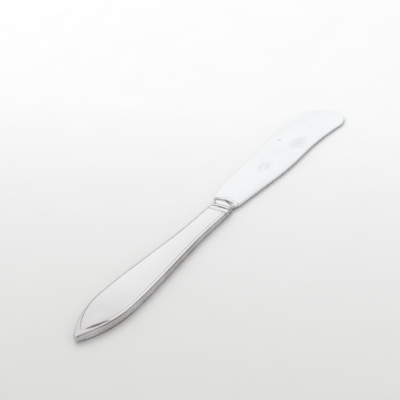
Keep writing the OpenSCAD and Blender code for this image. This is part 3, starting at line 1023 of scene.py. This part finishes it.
# A mark between two places in plan, used for stains on the metal and for a painted dark reflection.
# Its places, half width, soft border and the height above which it shows are in millimetres, and
# broken is how far noise breaks it up.
StainAndReflection = namedtuple("StainAndReflection", "start end half_w soft above amount tint broken")


def stain_and_reflection_group():
    """Mask of a lens-shaped mark in plan, for stains and for painted reflections, above a height, broken
    up by noise
    """
    known = bpy.data.node_groups.get("StainAndReflection")
    if known:
        return known
    names = ("Middle X", "Middle Y", "Way X", "Way Y", "Half Length", "Half Width", "Soft", "Above",
             "Whole")
    group, given, result = new_group("StainAndReflection", [(name, 0.0) for name in names],
                                     [("Mask", "NodeSocketFloat")])
    middle_x, middle_y, way_x, way_y, half_l, half_w, soft, above, whole = given.outputs[:len(names)]
    coords = group.nodes.new("ShaderNodeTexCoord")
    place = add(group, "ShaderNodeSeparateXYZ", Vector=coords.outputs["Object"])
    x = maths(group, "SUBTRACT", place.outputs["X"], middle_x)
    y = maths(group, "SUBTRACT", place.outputs["Y"], middle_y)
    along = maths(group, "ADD", maths(group, "MULTIPLY", x, way_x), maths(group, "MULTIPLY", y, way_y))
    across = maths(group, "SUBTRACT", maths(group, "MULTIPLY", y, way_x),
                   maths(group, "MULTIPLY", x, way_y))
    part = maths(group, "DIVIDE", along, half_l)
    fullness = maths(group, "SUBTRACT", 1.0, maths(group, "MULTIPLY", part, part))
    width = maths(group, "MULTIPLY", fullness, half_w)
    room = maths(group, "SUBTRACT", width, maths(group, "ABSOLUTE", across))
    on_top = maths(group, "GREATER_THAN", place.outputs["Z"], above)
    shape = maths(group, "MULTIPLY", spread(group, room, 0.0, soft), on_top)
    speckle = spread(group, noise(group, mapped(group), scale=600.0, detail=3.0), 0.35, 0.62, whole)
    group.links.new(maths(group, "MULTIPLY", shape, speckle), result.inputs["Mask"])
    return group


def stain_and_reflection_mask(tree, stain_and_reflection):
    """Mask of one of the stains and painted reflections, from their group"""
    start, end = Vector(stain_and_reflection.start) * MM, Vector(stain_and_reflection.end) * MM
    middle, way = (start + end) / 2, (end - start).normalized()
    node = placed(tree, stain_and_reflection_group(), Middle_X=middle.x, Middle_Y=middle.y, Way_X=way.x, Way_Y=way.y,
                  Half_Length=(end - start).length / 2, Half_Width=stain_and_reflection.half_w * MM,
                  Soft=stain_and_reflection.soft * MM, Above=stain_and_reflection.above * MM, Whole=1 - stain_and_reflection.broken)
    return node.outputs["Mask"]


# Strength of the clouding's tint, how dark that tint is, and how high the clouding stands
CLOUD_AMOUNT = 0.25
CLOUD_SHADE = 0.9
CLOUD_HEIGHT = 0.3
# What dulled patches, hairlines and the marks of painted shade and tarnish add to the roughness
DULL_ROUGH = 0.16
LINE_ROUGH = 0.12
DARK_ROUGH = 0.25
# Strength of the relief of clouding and hairlines
BUMP = 0.02


def metal_material(context, name, base, rough, darkening, stains_and_reflections=()):
    """Polished metal with hairlines, dulled patches, painted shade and tarnish, and some stains and
    painted reflections
    """
    known = bpy.data.materials.get(name)
    if known:
        return known
    look = context.scene.knife_finish
    material, tree, shader = new_material(name)
    lines = placed(tree, scratches_group(), Scale=1.0, Amount=look.wear).outputs["Lines"]
    handling = placed(tree, handling_group(), Amount=look.wear)
    dull, cloud = handling.outputs["Dull"], handling.outputs["Cloud"]
    dark = placed(tree, shade_and_tarnish_group(), Amount=darkening).outputs["Mask"]
    shade = [c * CLOUD_SHADE for c in base]
    clouded = mixed(tree, maths(tree, "MULTIPLY", cloud, CLOUD_AMOUNT), (*base, 1), (*shade, 1))
    # Painted shade and tarnish darken the colour
    toned = mixed(tree, dark, clouded, (*look.tarnish_and_shade, 1))
    for stain_and_reflection in stains_and_reflections:
        amount = maths(tree, "MULTIPLY", stain_and_reflection_mask(tree, stain_and_reflection), stain_and_reflection.amount)
        toned = mixed(tree, amount, toned, (*stain_and_reflection.tint, 1))
    roughness = rough
    for mask, amount in ((dull, DULL_ROUGH), (lines, LINE_ROUGH), (dark, DARK_ROUGH)):
        roughness = maths(tree, "ADD", maths(tree, "MULTIPLY", mask, amount), roughness)
    height = maths(tree, "SUBTRACT", maths(tree, "MULTIPLY", cloud, CLOUD_HEIGHT), lines)
    relief = add(tree, "ShaderNodeBump", Height=height, Strength=BUMP, Distance=0.02 * MM)
    shader.inputs["Metallic"].default_value = 1.0
    feed(tree, shader, Base_Color=toned, Roughness=roughness, Normal=relief.outputs["Normal"])
    return material


# A painted dark reflection: a wedge on the border near the tip
RIM_REFLECTION = (StainAndReflection((-35.5, -1.1), (-27.2, -6.1), 0.5, 0.2, 2.4, 0.8, (0.13, 0.11, 0.125), 0),
              StainAndReflection((-35.4, -1.2), (-30.2, -4.8), 0.6, 0.2, 2.4, 0.6, (0.13, 0.11, 0.125), 0))
# Two cloudy smudges and a dark speck on the blade, and a dark line down the neck
BLADE_STAINS = (StainAndReflection((67.0, 1.6), (76.2, -0.2), 3.2, 2.6, 1, 0.24, (0.3, 0.27, 0.33), 0.9),
                StainAndReflection((85.0, -2.0), (97.0, -1.2), 4.4, 4.2, 1, 0.24, (0.3, 0.3, 0.3), 0.5),
                StainAndReflection((89.2, 6.5), (90.7, 6.1), 0.7, 0.4, 1, 0.3, (0.1, 0.09, 0.1), 0),
                StainAndReflection((46.3, 1.6), (43.9, -3.8), 0.48, 0.3, 1, 0.8, (0.1, 0.09, 0.08), 0.3))


def silver_material(context):
    """Silver plate of handle, collar and cap"""
    look = context.scene.knife_finish
    # The silver carries the painted dark reflection near the tip
    return metal_material(context, "polished_silver", look.silver, look.silver_rough, 1.0, RIM_REFLECTION)


def steel_material(context):
    """Steel of blade and neck"""
    look = context.scene.knife_finish
    return metal_material(context, "polished_steel", look.steel, look.steel_rough, 0.95, BLADE_STAINS)


def solder_material(context):
    """Solder of the seam, duller than the plate"""
    look = context.scene.knife_finish
    return metal_material(context, "filed_solder", look.solder, 0.35, 0.5)


def cement_material(context):
    """Matt hardened filling with grains and voids"""
    look = context.scene.knife_finish
    material, tree, shader = new_material("hard_filling")
    grain = noise(tree, mapped(tree), scale=900.0, detail=6.0, rough=0.7)
    tint = mixed(tree, grain, (*[c * 0.7 for c in look.cement], 1), (*look.cement, 1))
    relief = add(tree, "ShaderNodeBump", Height=grain, Strength=0.4, Distance=0.1 * MM)
    feed(tree, shader, Base_Color=tint, Roughness=spread(tree, grain, 0.3, 0.7, 0.75, 0.95),
         Normal=relief.outputs["Normal"])
    return material


# Painted fall-off of light on the floor. Distances beyond the handle's middle, in metres, between which
# the floor goes from its near colour, painted darker, to its far colour, and the part of a step to the
# right that counts as a step beyond
FLOOR_SHADE_FADE = (-0.095, 0.125)
RIGHT_SHARE = 0.5


def floor_material(setup):
    """Plain pale floor, with painted shade that makes it a little darker towards the camera and the left
    """
    material, tree, shader = new_material("pale_floor")
    coords = tree.nodes.new("ShaderNodeTexCoord")
    along = add(tree, "ShaderNodeVectorMath", _0=coords.outputs["Object"],
                _1=far_way(setup) + RIGHT_SHARE * level_way(setup))
    along.operation = "DOT_PRODUCT"
    fade = spread(tree, along.outputs["Value"], *FLOOR_SHADE_FADE)
    mottle = spread(tree, noise(tree, mapped(tree), scale=60.0, detail=3.0), 0.3, 0.7, 0.985, 1.0)
    # Painted shade from the far colour to the darker near one
    tone = mixed(tree, fade, (*setup.floor_near_shade, 1), (*setup.floor, 1))
    shade = mixed(tree, mottle, (0, 0, 0, 1), tone)
    feed(tree, shader, Base_Color=shade, Roughness=0.85)
    shader.inputs["Specular IOR Level"].default_value = 0.2
    return material


def far_way(setup):
    """Level direction away from the camera"""
    return Vector((math.sin(setup.turn), math.cos(setup.turn), 0))


def level_way(setup):
    """Level direction to the right of the picture"""
    return Vector((math.cos(setup.turn), -math.sin(setup.turn), 0))


def camera_axes(setup):
    """Where the camera's sight line, width and height point, in the knife's frame"""
    ahead = Vector((math.sin(setup.turn) * math.cos(setup.elevation),
                    math.cos(setup.turn) * math.cos(setup.elevation), -math.sin(setup.elevation)))
    level = level_way(setup)
    up = level.cross(ahead)
    right = math.cos(setup.roll) * level + math.sin(setup.roll) * up
    return ahead, right, right.cross(ahead)


def add_lamp(name, size, power, tint, place, aim):
    """Square soft lamp at a place, turned to its aim"""
    lamp = bpy.data.lights.new(name, "AREA")
    lamp.shape = "SQUARE"
    lamp.size = size
    lamp.energy = power
    lamp.color = tint
    holder = bpy.data.objects.new(name, lamp)
    bpy.context.scene.collection.objects.link(holder)
    holder.location = place
    holder.rotation_euler = (Vector(aim) - Vector(place)).to_track_quat("-Z", "Y").to_euler()
    holder.visible_glossy = False


def ramped(tree, value, stops):
    """Brightness that follows a value by (place, brightness) stops"""
    ramp = add(tree, "ShaderNodeValToRGB", Fac=value)
    elements = ramp.color_ramp.elements
    elements[0].position, elements[1].position = stops[0][0], stops[-1][0]
    for place, _ in stops[1:-1]:
        elements.new(place)
    for element, (_, bright) in zip(elements, stops):
        element.color = (bright, bright, bright, 1)
    return ramp.outputs["Color"]


# Brightness of each side of the room that shiny surfaces see, as (height, brightness) stops
FAR_SIDE = ((0.0, 0.12), (0.14, 0.15), (0.28, 0.6), (0.4, 1.0), (0.49, 1.12), (0.545, 1.08), (0.575, 0.96),
            (0.605, 0.78), (0.66, 0.97), (0.76, 1.0), (1.0, 0.97))
LEFT_SIDE = ((0.0, 0.6), (0.3, 0.95), (1.0, 0.97))
RIGHT_SIDE = ((0.0, 0.2), (0.12, 0.2), (0.2, 0.75), (0.31, 0.75), (0.39, 0.15), (0.6, 0.15), (1.0, 0.3))
NEAR_SIDE = ((0.0, 0.2), (0.06, 0.2), (0.16, 0.85), (0.5, 0.85), (0.65, 0.2), (1.0, 0.3))
# How much a direction has to point to a side for that side to begin, and to be all that is seen
NEAR_SPAN = (0.15, 0.4)
RIGHT_SPAN = (0.78, 0.92)
LEFT_SPAN = (0.22, 0.4)


def light_world(setup):
    """Plain ambient light, and for shiny surfaces a pale room with a dark skirting, which is
    dark on the right and behind the camera apart from a pale strip"""
    world = bpy.data.worlds.new("studio")
    bpy.context.scene.world = world
    world.use_nodes = True
    tree = world.node_tree
    tree.nodes.clear()
    output = tree.nodes.new("ShaderNodeOutputWorld")
    way = tree.nodes.new("ShaderNodeTexCoord").outputs["Generated"]
    height = add(tree, "ShaderNodeSeparateXYZ", Vector=way).outputs["Z"]
    sides = []
    for side, span in ((-far_way(setup), NEAR_SPAN), (level_way(setup), RIGHT_SPAN),
                       (-level_way(setup), LEFT_SPAN)):
        facing = add(tree, "ShaderNodeVectorMath", _0=way, _1=side)
        facing.operation = "DOT_PRODUCT"
        sides.append(spread(tree, facing.outputs["Value"], *span))
    near, right, left = sides
    far = mixed(tree, left, ramped(tree, height, FAR_SIDE), ramped(tree, height, LEFT_SIDE))
    seen = mixed(tree, right, far, ramped(tree, height, RIGHT_SIDE))
    seen = mixed(tree, near, seen, ramped(tree, height, NEAR_SIDE))
    rays = tree.nodes.new("ShaderNodeLightPath")
    ambient = add(tree, "ShaderNodeBackground", Color=(1, 1, 1, 1), Strength=setup.ambient)
    shiny = add(tree, "ShaderNodeBackground", Color=seen, Strength=1.0)
    white = add(tree, "ShaderNodeBackground", Color=(1, 1, 1, 1), Strength=1.0)
    glossy = add(tree, "ShaderNodeMixShader", _0=rays.outputs["Is Glossy Ray"],
                 _1=ambient.outputs[0], _2=shiny.outputs[0])
    shown = add(tree, "ShaderNodeMixShader", _0=rays.outputs["Is Camera Ray"],
                _1=glossy.outputs[0], _2=white.outputs[0])
    tree.links.new(shown.outputs[0], output.inputs["Surface"])


class KNIFE_OT_stage(bpy.types.Operator):
    """Lay the floor and set the lamp, the surroundings and the camera"""
    bl_idname = "knife.stage"
    bl_label = "Floor, light and camera"

    def execute(self, context):
        scene, setup = context.scene, context.scene.knife_studio
        bm = bmesh.new()
        bmesh.ops.create_circle(bm, cap_ends=True, segments=96, radius=setup.floor_r)
        mesh = bpy.data.meshes.new("floor")
        bm.to_mesh(mesh)
        bm.free()
        floor = bpy.data.objects.new("floor", mesh)
        scene.collection.objects.link(floor)
        floor.data.materials.append(floor_material(setup))
        light_world(setup)
        ahead, right, up = camera_axes(setup)
        aim = Vector((setup.aim_x, setup.aim_y, 0))
        key_at = aim + setup.key_far * far_way(setup) - setup.key_left * level_way(setup)
        key_at.z += setup.key_high
        add_lamp("key", setup.key_size, setup.key, setup.key_tint, key_at, aim)
        camera = bpy.data.objects.new("camera", bpy.data.cameras.new("camera"))
        scene.collection.objects.link(camera)
        camera.data.sensor_width = 36
        camera.data.lens = setup.lens
        camera.data.clip_start = 0.01
        place = aim - ahead * setup.distance
        turn = Matrix((right, up, -ahead)).transposed().to_4x4()
        camera.matrix_world = Matrix.Translation(place) @ turn
        scene.camera = camera
        scene.view_settings.view_transform = "Standard"
        return {"FINISHED"}


class KNIFE_PT_panel(bpy.types.Panel):
    """Lists the makers of the knife's pieces and their sizes"""
    bl_idname = "KNIFE_PT_panel"
    bl_label = "Butter knife"
    bl_space_type = "VIEW_3D"
    bl_region_type = "UI"
    bl_category = "Butter knife"

    def draw(self, context):
        for operator in MAKERS:
            self.layout.operator(operator.bl_idname)
        for name, group in GROUPS.items():
            box = self.layout.box()
            for key in group.__annotations__:
                box.prop(getattr(context.scene, name), key)


GROUPS = {"knife_handle": HandleSizes, "knife_collar": CollarSizes, "knife_blade": BladeSizes,
          "knife_finish": Finishes, "knife_studio": StudioSetup}
MAKERS = (KNIFE_OT_shells, KNIFE_OT_seam, KNIFE_OT_band, KNIFE_OT_cap, KNIFE_OT_bead, KNIFE_OT_blade,
          KNIFE_OT_filling, KNIFE_OT_stage)


def register():
    """Registers the sizes, the operators and the sidebar panel"""
    for group in GROUPS.values():
        bpy.utils.register_class(group)
    for operator in MAKERS:
        bpy.utils.register_class(operator)
    bpy.utils.register_class(KNIFE_PT_panel)
    for name, group in GROUPS.items():
        setattr(bpy.types.Scene, name, PointerProperty(type=group))


def unregister():
    """Takes away what register added"""
    for name in GROUPS:
        delattr(bpy.types.Scene, name)
    bpy.utils.unregister_class(KNIFE_PT_panel)
    for operator in reversed(MAKERS):
        bpy.utils.unregister_class(operator)
    for group in reversed(list(GROUPS.values())):
        bpy.utils.unregister_class(group)


def main():
    """Makes all pieces and the stage"""
    register()
    for operator in MAKERS:
        family, name = operator.bl_idname.split(".")
        getattr(getattr(bpy.ops, family), name)()


if __name__ == "__main__":
    main()
